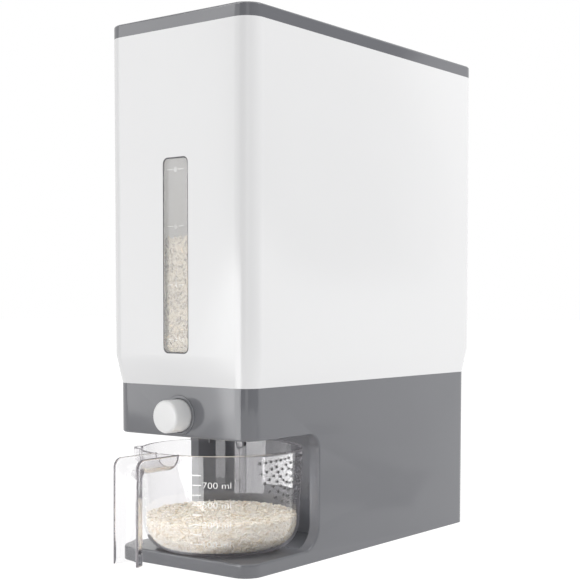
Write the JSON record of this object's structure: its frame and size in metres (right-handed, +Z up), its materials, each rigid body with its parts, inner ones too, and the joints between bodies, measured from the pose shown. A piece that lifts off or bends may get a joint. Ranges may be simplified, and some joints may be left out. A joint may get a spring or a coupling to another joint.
{
  "type": "rice dispenser",
  "caption": "Tall countertop rice dispenser: white tank with sight window and lift-off lid, grey base with push button and open bay, pull-out clear measuring cup.",
  "frame": {"origin": "centre of the base's underside, on the floor plane", "axes": "+Z up, the front with window, button and bay faces -Y, +X to the right seen from the front"},
  "size_m": [0.158, 0.408, 0.45],
  "materials": {
    "tank_white": "white, satin, glossy moulded",
    "base_grey": "mid grey, satin moulded",
    "window_clear": "clear water-white plastic",
    "seal_soft": "soft translucent silicone",
    "pad_rubber": "black rubber",
    "inner_plastic": "off-white moulded",
    "button_white": "white, glossy",
    "steel": "plated steel screws and wire",
    "cup_clear": "clear styrene"
  },
  "bodies": {
    "root": {"tank_shell": "tank_white", "window_lens": "window_clear", "window_seal": "seal_soft", "hopper_floor": "inner_plastic", "throat_seal": "seal_soft", "gate_frame": "inner_plastic", "outlet_chute": "inner_plastic", "button_guide": "base_grey", "base_housing": "base_grey", "bottom_cover": "base_grey", "rubber_feet": "pad_rubber", "bottom_screws": "steel", "tank_screws": "steel", "gate_screws": "steel", "return_spring": "steel"},
    "dispense_slide": {"button_cap": "button_white", "push_rod": "inner_plastic", "gate_slide": "inner_plastic"},
    "lid": {"lid_cover": "base_grey", "lid_liner": "inner_plastic", "lid_seal": "seal_soft"},
    "cup": {"measuring_cup": "cup_clear"}
  },
  "joints": [
    {"name": "button_press", "type": "slide", "parent": "root", "child": "dispense_slide", "axis": [0, 1, 0], "range_m": [0, 0.015], "stiffness_N_per_m": 150, "springref_m": -0.004, "deforming": ["return_spring"]},
    {"name": "lid_lift", "type": "slide", "parent": "root", "child": "lid", "axis": [0, 0, 1], "range_m": [0, 0.1]},
    {"name": "cup_pull", "type": "slide", "parent": "root", "child": "cup", "axis": [0, -1, 0], "range_m": [0, 0.2]}
  ]
}
